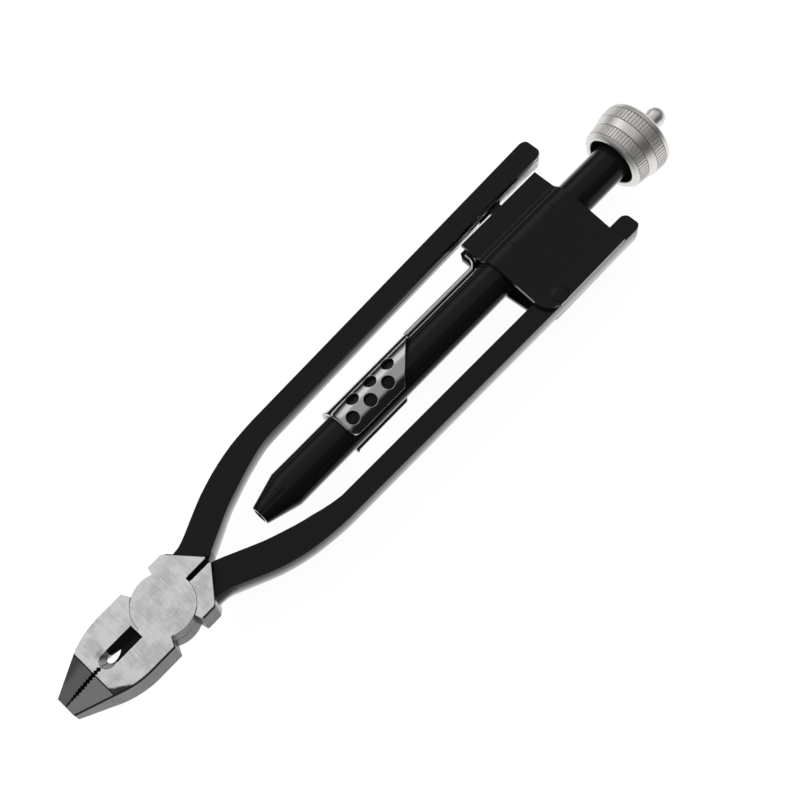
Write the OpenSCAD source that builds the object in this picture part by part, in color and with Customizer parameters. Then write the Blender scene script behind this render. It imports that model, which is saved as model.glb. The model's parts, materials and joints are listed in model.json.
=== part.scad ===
// Safety wire pliers, 9 inch size: lap-jointed jaws with cutters, two long handles,
// and a pull-knob wire twister in a tube that is carried by a bracket on one handle.
// The origin is on the pivot axis at the underside of the head. +X runs to the pull
// knob, the jaws point to -X, and +Z is up. All lengths are in millimetres.

/* [Head] */
// Thickness of the head over both lap layers
head_t = 9.7; // [8:0.1:12]
// Width of the head over both jaws
head_w = 19.6; // [18:0.1:24]
// Length of the jaws from the pivot axis to the tip
jaw_len = 33.8; // [30:0.1:42]
// Length of the ground nose bevel
nose_len = 10.2; // [7:0.1:12]
// Width of the closed jaws where the nose bevel starts
nose_w = 14.9; // [12:0.1:17]
// Width of the closed tip
tip_w = 5.8; // [4:0.1:8]
// Thickness of the tip
tip_t = 5.2; // [4:0.1:7]
// Diameter of the round lap joint
disc_d = 16.9; // [14:0.1:17.5]
// Diameter of the flush pivot rivet
rivet_d = 8; // [5:0.1:10]

/* [Jaws] */
// Pitch of the gripping teeth
tooth_pitch = 0.95; // [0.7:0.05:1.5]
// Depth of the gripping teeth
tooth_depth = 0.42; // [0.2:0.01:0.6]
// Width of the cutter window at the upper face
window_w = 4.3; // [3:0.1:6]
// Length of the cutting edges
cutter_len = 5.7; // [5:0.1:8]
// Length of the pointed hole in front of the cutters, at the upper face
hole_len = 6.6; // [5:0.1:7]
// Depth of the cutting edges below the upper face
edge_depth = 1.3; // [0.8:0.1:2]
// Width of the relief under the cutters, at the lower face
relief_w = 7.4; // [5:0.1:8]
// Half gap between the gripping teeth of the closed jaws
grip_gap = 0.18; // [0.05:0.01:0.4]

/* [Handles] */
// Thickness of the handle bars
handle_t = 5.5; // [4.5:0.1:7]
// Width of the handle bars
handle_w = 5.5; // [5:0.1:7]
// Width of the necks behind the head
neck_w = 7.9; // [7:0.1:9]
// Distance from the pivot axis to the handle ends
handle_len = 161.4; // [158:0.1:180]
// Angle of the necks to the centre line, in degrees
neck_angle = 25; // [22:0.5:28]
// Radius of the long bend from neck to bar
bend_r = 64; // [55:1:75]
// Angle of the straight bars to the centre line, in degrees
flare_angle = 1.1; // [0.5:0.1:2]
// Width of the slot between the two necks
neck_slot_w = 1.4; // [1:0.1:2]

/* [Twister tube] */
// Outer diameter of the tube
tube_d = 11.1; // [10:0.1:12]
// Wall of the tube
tube_wall = 1; // [0.7:0.05:1.2]
// Distance from the pivot axis to the tube's nose
tube_front = 33.2; // [31:0.1:36]
// Length of the tube behind the handle ends
tube_past = 16.2; // [14:0.1:20]
// Diameter of the swaged nose
nose_d = 5.8; // [4.5:0.1:7]
// Length of the swaged taper
taper_len = 9.5; // [7:0.1:12]
// Width of the folded seam in the nose
seam_w = 0.9; // [0.4:0.05:1.2]

/* [Bracket] */
// Thickness of the bracket plates
plate_t = 1.2; // [0.8:0.1:1.6]
// Distance from the bracket's rear edge to the handle ends
bracket_end_gap = 7; // [5:0.1:9]
// Length of the bracket along the tube
bracket_len = 30.3; // [28:0.1:33]
// Gap between the bracket's free edge and the latched handle
bracket_gap = 2.2; // [1.5:0.1:3]
// Radius of the bracket's front corner over the riveted handle
corner_r = 4.2; // [2:0.1:5]
// Distance of the bracket rivet behind the front edge
rivet_back = 6.2; // [5:0.1:9]
// Diameter of the bracket rivet's shank
bracket_rivet_d = 3; // [2.4:0.1:3.2]
// Diameter of the bracket rivet's domed heads
rivet_head_d = 6; // [4.5:0.1:6.4]

/* [Latch] */
// Travel of the thumb slide from released to locked
latch_travel = 2.6; // [2:0.1:2.6]
// Thickness of the latch plate
latch_t = 1.6; // [1.2:0.1:1.8]
// Width of the hook arm that crosses to the handle
arm_w = 3.6; // [3:0.1:4]
// Distance of the hook arm behind the bracket's front edge
arm_back = 14.2; // [13.5:0.1:15]
// Length of the hook's nose
hook_len = 2.6; // [2.5:0.1:2.9]
// Diameter of the keeper pin in the handle
keeper_d = 1.5; // [1.2:0.1:1.6]
// Diameter of the latch wire
wire_d = 1.7; // [1.4:0.1:1.8]
// Diameter of the latch guide pins
guide_d = 2.4; // [2:0.1:2.6]

/* [Thumb slide] */
// Sheet thickness of the thumb slide
slide_t = 1; // [0.7:0.1:1.2]
// Distance from the pivot axis to the slide's front edge
slide_front = 63.8; // [60:0.1:66]
// Length of the slide along its short lip
slide_short = 17.2; // [16.5:0.1:20]
// Length of the slide along its long side
slide_long = 31.5; // [29:0.1:33]
// Diameter of the grip holes
grip_hole_d = 3.7; // [3:0.1:4]
// Pitch of the grip holes along the slide
grip_hole_pitch = 6.65; // [6:0.05:7]

/* [Twist drive] */
// Distance from the tube's taper to the spring seat
seat_back = 8.7; // [5:0.1:12]
// Length along the spiral for one full turn
spiral_lead = 32; // [26:1:40]
// Gap between the spiral bar and the spring round it
coil_gap = 0.75; // [0.5:0.05:1]
// Thickness of the spiral bar
bar_t = 2.2; // [1.8:0.1:2.6]
// Diameter of the spring wire
spring_wire_d = 0.8; // [0.6:0.05:0.9]
// Number of turns in the return spring
spring_turns = 15; // [12:1:18]
// Length of the drive nut
nut_len = 9; // [7:0.1:10]
// Thickness of the spring seat and the rear spring washer
washer_t = 1.4; // [1:0.1:2]
// Diameter of the rod's round journal and shank
shank_d = 3.4; // [3:0.1:3.6]

/* [Knob] */
// Largest diameter of the pull knob
knob_d = 22.6; // [20:0.1:25]
// Length of the pull knob
knob_len = 13.1; // [11:0.1:14]
// Length of the tube inside the knob's cup
cup_lap = 5.2; // [4.5:0.1:6]
// Diameter of the cup in the knob's front
cup_d = 15; // [14.5:0.1:16]
// Number of ridges around each knurled band
knurl_count = 66; // [40:1:70]
// Depth of the knurl
knurl_depth = 0.35; // [0.2:0.05:0.5]
// Diameter of the ball on the end nut
ball_d = 5.9; // [5:0.1:7]
// Distance from the knob's rear to the far end of the ball
ball_past = 9.2; // [8.5:0.1:12]

/* [Fits] */
// Radial clearance of turning and riveted fits
pin_fit = 0.04; // [0.02:0.01:0.08]
// Gap between the two lap layers
lap_gap = 0.12; // [0.1:0.02:0.3]
// Radial gap round the lap disc
disc_gap = 0.12; // [0.1:0.02:0.3]
// Gap between the handle and each bracket plate
plate_gap = 0.25; // [0.15:0.05:0.4]
// Gap between the tube and the thumb slide
slide_gap = 0.3; // [0.2:0.05:0.4]
// Running gap of the pieces that move inside the tube
bore_gap = 0.2; // [0.15:0.05:0.3]
// Gap between the spiral bar and the drive nut's twisted slot
slot_gap = 0.3; // [0.25:0.05:0.35]
// Side play of the latch plate and its hook
latch_gap = 0.45; // [0.4:0.05:0.5]

/* [Hidden] */
$fn = 64;
mid_z = head_t / 2;
touch = 0.02;
past = 1;
lap_t = (head_t - lap_gap) / 2;
lap_edge = 0.35;
disc_r = disc_d / 2;

// Jaw outline: the nose start, the full-width start, the heel and the tooth rows
cheek_len = 10.6;
nose_x = -jaw_len + nose_len;
cheek_x = nose_x + cheek_len;
heel_x = -5.4;
heel_slope = 1;
heel_drop = 2;
edge_gap = 0.02;
window_rear = -(disc_r + disc_gap + 0.5);
hole_tip = window_rear - cutter_len;
hole_in = [0.68, 0.5];
window_lap = 3.2;
teeth_front = -jaw_len + 0.6;
teeth_rear = hole_tip - hole_len - 0.15;
tooth_count = floor((teeth_rear - teeth_front) / tooth_pitch);
cheek_steps = 12;
tip_gap = 0.06;
tip_run = 4.5;

// Shoulder outline behind the lap joint, and where the bright head ends
shoulder_x = 3.9;
shoulder_rear = 8.3;
paint_x = 15.8;

// Handle path: a short straight, the neck bend, a straight neck, the long bend, the bar
neck_start = [8, 4.7];
neck_heading = 3;
neck_lead = 3;
neck_bend_r = 18;
neck_run = 8;
end_round = 2.2;
neck_t = head_t - 1.6;
outer_bulge = 1;
inner_bulge = 0.75;

// Where a path that leaves p at angle a gets to after a straight run or a bend of radius r
function ahead(p, a, run) = p + run * [cos(a), sin(a)];
function bent(p, a, b, r) = p + r * [sin(b) - sin(a), cos(a) - cos(b)];
neck_a = ahead(neck_start, neck_heading, neck_lead);
neck_b = bent(neck_a, neck_heading, neck_angle, neck_bend_r);
neck_c = ahead(neck_b, neck_angle, neck_run);
bar_start = bent(neck_c, neck_angle, flare_angle, -bend_r);
bar_run = (handle_len - bar_start[0]) / cos(flare_angle);
bar_end = ahead(bar_start, flare_angle, bar_run);
// Centre of the straight bar at a distance x behind the pivot
function bar_y(x) = bar_start[1] + (x - bar_start[0]) * tan(flare_angle);

// Stations along a handle: point, heading, width and thickness
function blend(a, b, t) = a + (b - a) * t;
bend_steps = 9;
end_steps = 4;
neck_stations = [
    [neck_start, neck_heading, neck_w + 0.3, neck_t],
    [neck_a, neck_heading, neck_w + 0.3, neck_t],
    for (i = [1:3])
        let (t = i / 3, a = blend(neck_heading, neck_angle, t))
        [bent(neck_a, neck_heading, a, neck_bend_r), a, neck_w + 0.3 * (1 - t),
         blend(neck_t, handle_t, t * 0.6)]];
bend_stations = [
    for (i = [0:bend_steps])
        let (t = i / bend_steps, a = blend(neck_angle, flare_angle, t), ease = t * t * (3 - 2 * t))
        [bent(neck_c, neck_angle, a, -bend_r), a, blend(neck_w, handle_w, ease),
         blend(blend(neck_t, handle_t, 0.8), handle_t, min(1, 2 * t))]];
end_stations = [
    for (i = [0:end_steps])
        let (q = 90 * i / end_steps)
        [ahead(bar_end, flare_angle, -end_round * (1 - sin(q))), flare_angle,
         handle_w - 2 * end_round * (1 - cos(q)), handle_t - 0.8 * (1 - cos(q))]];
handle_stations = concat(neck_stations, bend_stations, end_stations);

// Section of a handle, with its x to the inner side: flat faces and barrel-shaped sides
side_steps = 6;
function barrel(w, h, bulge, side) = [
    for (i = [0:side_steps])
        let (t = side * (2 * i / side_steps - 1))
        [side * (w / 2 - bulge * t * t), t * h / 2]];
function bar_section(w, h) =
    concat(barrel(w, h, min(inner_bulge, w / 5), 1), barrel(w, h, min(outer_bulge, w / 5), -1));

// Bracket, latch and keeper places
edge_in = 0.6;
hook_play = 0.85;
keeper_wall = 0.65;
hook_w = 1.2;
pocket_lead = 2.5;
pocket_play = 0.95;
latch_wall = 1.2;
latch_edge = 0.3;
latch_lead = 1.7;
latch_tail = 4.5;
guide_in = 9.3;
guide_out = 4;
collar_w = 0.9;
leg_lead = 0.1;
bracket_rear = handle_len - bracket_end_gap;
bracket_x = bracket_rear - bracket_len;
rivet_x = bracket_x + rivet_back;
rivet_y = -bar_y(rivet_x);
tube_r = tube_d / 2;
bore_r = tube_r - tube_wall;
channel_r = tube_r + touch;
plate_in = handle_t / 2 + plate_gap;
plate_out = plate_in + plate_t;
free_edge = bar_y(bracket_x) - handle_w / 2 - bracket_gap;
rivet_edge = bar_y(bracket_x) + handle_w / 2 - edge_in;
arm_x = bracket_x + arm_back;
wire_r = tube_r + slide_gap + wire_d / 2;
keeper_x = arm_x - hook_len - hook_play - keeper_d / 2;
keeper_y = bar_y(keeper_x) - handle_w / 2 + keeper_wall + keeper_d / 2;
hook_near = keeper_y + keeper_d / 2 + latch_gap;
hook_far = hook_near + hook_w;
pocket_front = keeper_x - keeper_d / 2 - pocket_lead;
pocket_rear = arm_x + arm_w + pocket_play;
latch_near = wire_r + latch_wall;
latch_far = free_edge - latch_edge;
latch_front = bracket_x - latch_lead;
latch_rear = bracket_rear - latch_tail;
guide_y = (latch_near + free_edge) / 2 + latch_edge / 2;
guide_front = latch_front + guide_in;
guide_back = latch_rear - guide_out;
wire_bend_r = 2.6;
wire_leg_x = bracket_x - leg_lead;
slide_in = tube_r + slide_gap;
slide_out = slide_in + slide_t;
slide_rear = slide_front + slide_long;

// Twist drive places from front to rear
cup_gap = 0.9;
nut_in = 0.4;
tube_rear = handle_len + tube_past;
knob_front = tube_rear - cup_lap;
cup_floor = tube_rear + cup_gap;
nut_rear = tube_rear - nut_in;
nut_front = nut_rear - nut_len;
rear_washer_x = nut_front - washer_t;
seat_x = tube_front + taper_len + seat_back;
seat_rear = seat_x + washer_t;
bar_x = seat_rear + 0.5;
spring_front = seat_rear + 0.05;
spring_rear = rear_washer_x - 0.05;
head_nut_len = 3;
spring_r = bore_r - bore_gap - spring_wire_d / 2;
bar_w = 2 * (spring_r - spring_wire_d / 2 - coil_gap);
knob_r = knob_d / 2;
knob_rear = knob_front + knob_len;
ball_x = knob_rear + ball_past - ball_d / 2;
end_thread_d = 2.6;

// Places a shape from the middle plane of the tool
module at_mid() { translate([0, 0, mid_z]) children(); }

// A solid turned about the X axis from points of radius and place along X
module turned(points) { at_mid() rotate([0, 90, 0]) rotate_extrude() polygon(points); }

// A round rod along X at the middle plane
module rod_x(x, len, d) { translate([x, 0, 0]) rotate([0, 90, 0]) cylinder(d = d, h = len); }

// Skins closed sections into one solid, ring by ring
module skinned(rings) {
    n = len(rings[0]);
    last = len(rings) - 1;
    sides = [for (i = [0:last - 1]) for (j = [0:n - 1])
        let (k = (j + 1) % n, a = i * n, b = a + n)
        each [[a + j, a + k, b + k], [a + j, b + k, b + j]]];
    caps = [[for (j = [n - 1:-1:0]) j], [for (j = [0:n - 1]) last * n + j]];
    polyhedron([for (ring = rings) each ring], concat(sides, caps), convexity = 6);
}

// One handle bar as a skin over its stations
module handle_bar() {
    skinned([for (s = handle_stations)
        [for (q = bar_section(s[2], s[3]))
            [s[0][0] + q[0] * sin(s[1]), s[0][1] - q[0] * cos(s[1]), q[1]]]]);
}

// Plan of one jaw on the -Y side, with its row of gripping teeth
module jaw_plan() {
    cheek = head_w / 2;
    root = grip_gap + tooth_depth;
    bulge = [for (i = [1:cheek_steps - 1]) let (a = 90 * i / cheek_steps)
        [nose_x + (cheek_x - nose_x) * sin(a), -nose_w / 2 - (cheek - nose_w / 2) * sin(a) * (2 - sin(a))]];
    teeth = [for (i = [0:tooth_count - 1])
        let (x = teeth_rear - i * tooth_pitch, ease = min(1, (x - teeth_front) / tip_run))
        each [[x, -grip_gap * ease - tip_gap], [x - tooth_pitch / 2, -root * ease - tip_gap]]];
    polygon(concat(
        [[-jaw_len, -tip_gap], [-jaw_len, -tip_w / 2], [nose_x, -nose_w / 2]],
        bulge,
        [[cheek_x, -cheek], [heel_x, -cheek], [heel_x + heel_slope, -cheek + heel_drop],
         [0, -edge_gap], [teeth_rear + 0.05, -edge_gap]],
        teeth));
}

// Plan of the shoulder that joins the lap disc to a neck on the +Y side
module shoulder_plan() {
    cheek = head_w / 2;
    polygon([[0, neck_slot_w / 2], [shoulder_x - 0.5, disc_r - 1], [shoulder_x, cheek - 0.2],
        [shoulder_x + 0.3, cheek], [shoulder_rear, cheek], [shoulder_rear + 1.3, cheek - 0.9],
        [paint_x, neck_slot_w / 2 + 0.5], [paint_x - 0.5, neck_slot_w / 2]]);
}

// The wedge that the nose bevel takes off one face
module nose_wedge() {
    rise = (head_t - tip_t) / 2;
    slope = rise / nose_len;
    rotate([90, 0, 0]) linear_extrude(head_w + 2 * past, center = true)
        polygon([[nose_x + past, mid_z + slope * past], [-jaw_len - past, tip_t / 2 - slope * past],
            [-jaw_len - past, head_t], [nose_x + past, head_t]]);
}

// The cutter window: a shallow V from the upper face, a wide relief from the lower face, and the
// pointed through hole ahead of the cutting edges
module window_cut() {
    half = window_w / 2;
    under = relief_w / 2;
    edge_z = mid_z - edge_depth;
    below = mid_z + edge_z;
    flare = half / edge_depth * past;
    under_flare = under / below * past;
    translate([hole_tip - window_lap, 0, 0]) rotate([90, 0, 90]) linear_extrude(cutter_len + window_lap)
        polygon([[-half - flare, mid_z + past], [-edge_gap, edge_z], [-under - under_flare, -mid_z - past],
            [under + under_flare, -mid_z - past], [edge_gap, edge_z], [half + flare, mid_z + past]]);
    skinned([hole_ring([1, 1], mid_z + touch), hole_ring(hole_in, edge_z),
        hole_ring([1, relief_w / window_w], -mid_z - touch)]);
}

// Outline of the hole at a height, scaled about its point: a round end towards the jaws' tips, and two
// arcs that meet in the point
hole_steps = 8;
function hole_ring(k, z) =
    let (half = window_w / 2, reach = hole_len - half, r = (reach * reach + half * half) / (2 * half))
    let (turn = asin(reach / r))
    let (round = [for (i = [0:hole_steps]) let (a = 90 + 180 * i / hole_steps)
        [half * cos(a) - reach, half * sin(a)]])
    let (arc = [for (i = [1:hole_steps]) let (a = turn * i / hole_steps)
        [r * sin(a) - reach, r - half - r * cos(a)]])
    let (back = [for (i = [1:hole_steps - 1]) let (p = arc[hole_steps - 1 - i]) [p[0], -p[1]]])
    [for (p = concat(round, arc, back)) [hole_tip + k[0] * p[0], k[1] * p[1], z]];

// One forged half: -Y jaw, upper lap disc and +Y handle, about the middle plane
module forged_half() {
    difference() {
        union() {
            difference() {
                union() {
                    color("lightgray") linear_extrude(head_t, center = true) jaw_plan();
                    color("lightgray") linear_extrude(head_t, center = true) shoulder_plan();
                    color("black") handle_bar();
                }
                translate([0, 0, -mid_z - past])
                    cylinder(r = disc_r + disc_gap, h = mid_z + past + lap_gap / 2);
                for (side = [0, 1]) mirror([0, 0, side]) nose_wedge();
            }
            color("lightgray") translate([0, 0, lap_gap / 2]) rotate_extrude()
                polygon([[0, 0], [disc_r - lap_edge, 0], [disc_r, lap_edge], [disc_r, lap_t], [0, lap_t]]);
        }
        cylinder(d = rivet_d + 2 * pin_fit, h = 2 * head_t, center = true);
    }
}

// Half with the upper lap layer, and the latch pocket in its handle
module upper_half() {
    at_mid() difference() {
        forged_half();
        window_cut();
        color("black") latch_pocket();
        translate([keeper_x, keeper_y, 0]) cylinder(d = keeper_d + 2 * pin_fit, h = 2 * handle_t, center = true);
    }
}

// Pocket in the latched handle: a mouth for the hook, and a hollow ahead of it behind the keeper pin
module latch_pocket() {
    pocket_h = latch_t + 2 * latch_gap;
    inner = bar_y(pocket_front) - handle_w / 2 - past;
    far = hook_far + latch_gap;
    near = hook_near - latch_gap;
    translate([pocket_front, near, -pocket_h / 2]) cube([pocket_rear - pocket_front, far - near, pocket_h]);
    translate([keeper_x, inner, -pocket_h / 2]) cube([pocket_rear - keeper_x, far - inner, pocket_h]);
}

// Half with the lower lap layer, and the bracket rivet's hole in its handle
module lower_half() {
    at_mid() difference() {
        rotate([180, 0, 0]) forged_half();
        window_cut();
        translate([rivet_x, rivet_y, 0])
            cylinder(d = bracket_rivet_d + 2 * pin_fit, h = 2 * handle_t, center = true);
    }
}

// Flush rivet of the lap joint
module pivot_rivet() {
    color("silver") cylinder(d = rivet_d, h = head_t);
}

// Tube with a swaged nose and its folded seam
seam_angle = 14;
seam_depth = 0.55;
seam_short = 0.7;
module twist_tube() {
    nose_r = nose_d / 2;
    taper_x = tube_front + taper_len;
    color("black") difference() {
        turned([[nose_r - tube_wall, tube_front], [nose_r - 0.2, tube_front], [nose_r, tube_front + 0.3],
            [tube_r, taper_x], [tube_r, tube_rear], [bore_r, tube_rear], [bore_r, taper_x + 0.4]]);
        at_mid() rotate([seam_angle, 0, 0]) seam_cut();
        at_mid() nut_pin_holes(nut_pin_d + 2 * pin_fit);
    }
}

// Groove along the swaged taper
module seam_cut() {
    rise = (tube_d - nose_d) / 2 / taper_len;
    floor_z = nose_d / 2 - seam_depth;
    run = taper_len - seam_short;
    rotate([90, 0, 0]) linear_extrude(seam_w, center = true)
        polygon([[tube_front - past, floor_z - past * rise], [tube_front + run, floor_z + run * rise],
            [tube_front + run, tube_r + past], [tube_front - past, tube_r + past]]);
}

// Section of a bracket plate across the tube: a flat seat over the riveted handle, a straight run
// up to the tube, the channel over the tube, a fillet and the flat wing over the latch
fillet_r = 2;
seat_past = 0.45;
seat_y = bar_y(rivet_x) - handle_w / 2 - seat_past;
fillet_z = plate_out + fillet_r;
fillet_y = sqrt(pow(channel_r + plate_t + fillet_r, 2) - fillet_z * fillet_z);
fillet_a = atan2(fillet_z, fillet_y);
lean = asin(channel_r / norm([seat_y, plate_in])) - atan(plate_in / seat_y);
sheet_steps = 12;
function run_foot(r, z) = [-r * sin(lean) - (r * cos(lean) - z) / tan(lean), z];
function arc(c, r, from, to) = [
    for (i = [0:sheet_steps]) let (a = from + (to - from) * i / sheet_steps) c + r * [cos(a), sin(a)]];
// One side of the sheet from the riveted edge to the free edge, out by a distance from the inner side
function sheet_side(out) = concat(
    [[-rivet_edge, plate_in + out], run_foot(channel_r + out, plate_in + out)],
    arc([0, 0], channel_r + out, 90 + lean, fillet_a),
    arc([fillet_y, fillet_z], fillet_r + plate_t - out, 180 + fillet_a, 270),
    [[free_edge, plate_in + out]]);
module plate_section() {
    inner = sheet_side(0);
    polygon(concat(sheet_side(plate_t), [for (i = [1:len(inner)]) inner[len(inner) - i]]));
}

// Plan of a bracket plate, with the round front corner on the rivet side
module plate_plan() {
    difference() {
        translate([bracket_x, -rivet_edge]) square([bracket_len, rivet_edge + free_edge]);
        translate([bracket_x, -rivet_edge]) difference() {
            translate([-past, -past]) square(corner_r + past);
            translate([corner_r, corner_r]) circle(corner_r);
        }
    }
}

// A bracket plate above the middle plane, with its rivet hole
module bracket_plate() {
    difference() {
        intersection() {
            translate([bracket_x, 0, 0]) rotate([90, 0, 90]) linear_extrude(bracket_len) plate_section();
            linear_extrude(2 * tube_d) plate_plan();
        }
        translate([rivet_x, rivet_y, 0]) cylinder(d = bracket_rivet_d + 2 * pin_fit, h = tube_d);
    }
}

// Staking dents that fix the top plate's channel to the tube
stake_l = 1.3;
stake_w = 3;
stake_depth = 0.5;
stake_in = 8;
stake_out = 6.6;
module stake_marks() {
    for (x = [bracket_x + stake_in, bracket_rear - stake_out])
        translate([x - stake_l / 2, 0, channel_r + plate_t - stake_depth])
            linear_extrude(plate_t) square([stake_l, stake_w]);
}

module bracket_top_plate() {
    color("black") at_mid() difference() {
        bracket_plate();
        stake_marks();
    }
}

module bracket_bottom_plate() {
    color("black") at_mid() mirror([0, 0, 1]) bracket_plate();
}

// Rivet that pivots the bracket on the lower handle, with two domed heads
dome_h = 0.5;
module bracket_rivet() {
    dome_r = (rivet_head_d * rivet_head_d / 4 + dome_h * dome_h) / (2 * dome_h);
    color("dimgray") at_mid() translate([rivet_x, rivet_y, 0]) {
        cylinder(d = bracket_rivet_d, h = 2 * plate_out, center = true);
        translate([0, 0, plate_out]) intersection() {
            translate([0, 0, dome_h - dome_r]) sphere(r = dome_r);
            cylinder(d = rivet_head_d, h = dome_h);
        }
    }
}

// Pins welded between the plates, which guide the latch plate between their collars
module latch_guide_pins() {
    collar_r = guide_d / 2 + collar_w;
    collar_in = latch_t / 2 + latch_gap / 3;
    pin_end = plate_in - touch;
    color("dimgray") at_mid() for (x = [guide_front, guide_back]) translate([x, guide_y, 0])
        rotate_extrude() polygon([[0, -pin_end], [collar_r, -pin_end], [collar_r, -collar_in],
            [guide_d / 2, -collar_in], [guide_d / 2, collar_in], [collar_r, collar_in],
            [collar_r, pin_end], [0, pin_end]]);
}

// Slot in the latch plate that runs over a guide pin
module guide_slot(x) {
    d = guide_d + latch_gap;
    translate([x, guide_y]) circle(d = d);
    translate([x, guide_y - d / 2]) square([latch_travel + 0.8, d]);
    translate([x + latch_travel + 0.8, guide_y]) circle(d = d);
}

// Flat latch plate: two guide slots, the wire's notch and the hook that locks the handle
module latch_plate() {
    wire_notch = wire_d + 0.1;
    notch_x = wire_leg_x - wire_notch / 2;
    notch_flare = 0.45;
    notch_wall = 1;
    front_cut = 0.9;
    guide_play = 0.4;
    color("dimgray") at_mid() linear_extrude(latch_t, center = true) difference() {
        union() {
            polygon([[latch_front, latch_near], [latch_rear, latch_near], [latch_rear, latch_far],
                [latch_front + front_cut, latch_far], [latch_front, latch_far - 1.5 * front_cut]]);
            translate([arm_x, latch_near]) square([arm_w, hook_far - latch_near]);
            translate([arm_x - hook_len, hook_near]) square([hook_len + past, hook_far - hook_near]);
        }
        for (x = [guide_front, guide_back]) guide_slot(x - guide_play);
        polygon([[notch_x - notch_flare, latch_near - past], [notch_x - notch_flare, latch_near],
            [notch_x, wire_r + wire_bend_r], [notch_x, latch_far - notch_wall],
            [notch_x + wire_notch, latch_far - notch_wall], [notch_x + wire_notch, latch_near - past]]);
    }
}

// Latch wire: straight along the tube, then a quarter bend into the latch plate's notch
module latch_wire() {
    straight = wire_leg_x - wire_bend_r - slide_rear;
    leg = latch_far - 1.2 - wire_r - wire_bend_r;
    color("silver") at_mid() {
        translate([0, wire_r, 0]) rod_x(slide_rear, straight, wire_d);
        translate([wire_leg_x - wire_bend_r, wire_r + wire_bend_r, 0]) rotate([0, 0, -90])
            rotate_extrude(angle = 90) translate([wire_bend_r, 0]) circle(d = wire_d, $fn = 32);
        translate([wire_leg_x, wire_r + wire_bend_r, 0]) rotate([-90, 0, 0]) cylinder(d = wire_d, h = leg);
    }
}

// Open sheet-metal sleeve that the thumb pushes, with two staggered rows of grip holes
lip_top = 49;
lip_bottom = 130;
row_angles = [-21, 12.4];
row_starts = [7.2, 3.5];
holes_in_row = 3;
rim_flare = 0.4;
rim_len = 0.9;
lip_r = 2.6;
module thumb_slide() {
    color("silver") at_mid() difference() {
        rotate([90, 0, 90]) translate([0, 0, slide_front])
            rotate_extrude(angle = 360, $fn = 96) polygon([[slide_in + rim_flare, 0],
                [slide_out + rim_flare, 0], [slide_out, rim_len], [slide_out, slide_long],
                [slide_in, slide_long], [slide_in, rim_len]]);
        sleeve_opening();
        tail_cut();
        lip_corner();
        for (row = [0, 1]) for (i = [0:holes_in_row - 1])
            rotate([row_angles[row], 0, 0])
                translate([slide_front + row_starts[row] + i * grip_hole_pitch, 0, slide_in - past])
                cylinder(d = grip_hole_d, h = slide_t + 2 * past);
    }
}

// Wedge of the sleeve left open towards the lower handle
module sleeve_opening() {
    far = 3 * tube_d;
    rotate([90, 0, 90]) linear_extrude(slide_rear + past)
        polygon([[0, 0], [-far * sin(lip_top), far * cos(lip_top)], [-far, far], [-far, -far],
            [-far * sin(lip_bottom), far * cos(lip_bottom)]]);
}

// Round front corner of the upper lip
module lip_corner() {
    translate([slide_front, -slide_out * sin(lip_top), 0]) linear_extrude(tube_d) difference() {
        translate([-past, -past]) square(lip_r + past);
        translate([lip_r, lip_r]) circle(lip_r);
    }
}

// Slanted cut that leaves the sleeve long on the wire's side
module tail_cut() {
    short = slide_front + slide_short;
    low = -slide_out;
    high = wire_r + wire_d / 2;
    linear_extrude(6 * tube_d, center = true)
        polygon([[short, low - 2 * past], [short, low], [slide_rear, high - wire_d],
            [slide_rear, high + past], [slide_rear + 2 * past, high + past], [slide_rear + 2 * past, low - 2 * past]]);
}

// Pin across the pocket of the upper handle that the hook catches
module keeper_pin() {
    color("silver") at_mid() translate([keeper_x, keeper_y, 0]) cylinder(d = keeper_d, h = handle_t, center = true);
}

// Section of the spiral bar with chamfered edges, widened by a clearance
bar_chamfer = 0.4;
function bar_profile(gap) =
    let (w = bar_w / 2 + gap, t = bar_t / 2 + gap, c = bar_chamfer)
    [[w, c - t], [w, t - c], [w - c, t], [c - w, t], [-w, t - c], [-w, c - t], [c - w, -t], [w - c, -t]];

// A stretch of the spiral from x0 to x1, in phase with the whole spiral
steps_per_turn = 48;
module spiral(x0, x1, gap) {
    steps = ceil((x1 - x0) / spiral_lead * steps_per_turn);
    skinned([for (i = [0:steps])
        let (x = blend(x0, x1, i / steps), a = 360 * x / spiral_lead)
        [for (q = bar_profile(gap)) [x, q[1] * cos(a) - q[0] * sin(a), q[1] * sin(a) + q[0] * cos(a)]]]);
}

// Rod: front journal, spiral bar, shank through the knob and a thin end for the end nut
module twist_rod() {
    journal_x = seat_x - head_nut_len;
    color("silver") at_mid() {
        rod_x(journal_x, bar_x - journal_x + touch, shank_d);
        spiral(bar_x, cup_floor, 0);
        rod_x(cup_floor - touch, knob_rear - cup_floor + touch, shank_d);
        rod_x(knob_rear - touch, ball_x - knob_rear, end_thread_d);
    }
}

// Turned ring about the tool's axis from x over a length, between two radii
module ring(x, len, inner, outer) {
    turned([[inner, x], [outer, x], [outer, x + len], [inner, x + len]]);
}

// Washer on the rod's journal that the spring pushes forward
module spring_seat() {
    color("gold") ring(seat_x, washer_t, shank_d / 2 + pin_fit, bore_r - bore_gap);
}

// Nut that holds the spring seat on the rod's front end
module rod_head_nut() {
    color("dimgray") ring(seat_x - head_nut_len, head_nut_len - 0.05, shank_d / 2 + pin_fit, shank_d / 2 + 1.5);
}

// Ring of a spring section about the X axis
function coil_ring(x, a) = [
    for (j = [0:5]) let (q = 60 * j, r = spring_r + spring_wire_d / 2 * cos(q))
    [x + spring_wire_d / 2 * sin(q), r * cos(a), r * sin(a)]];

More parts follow.
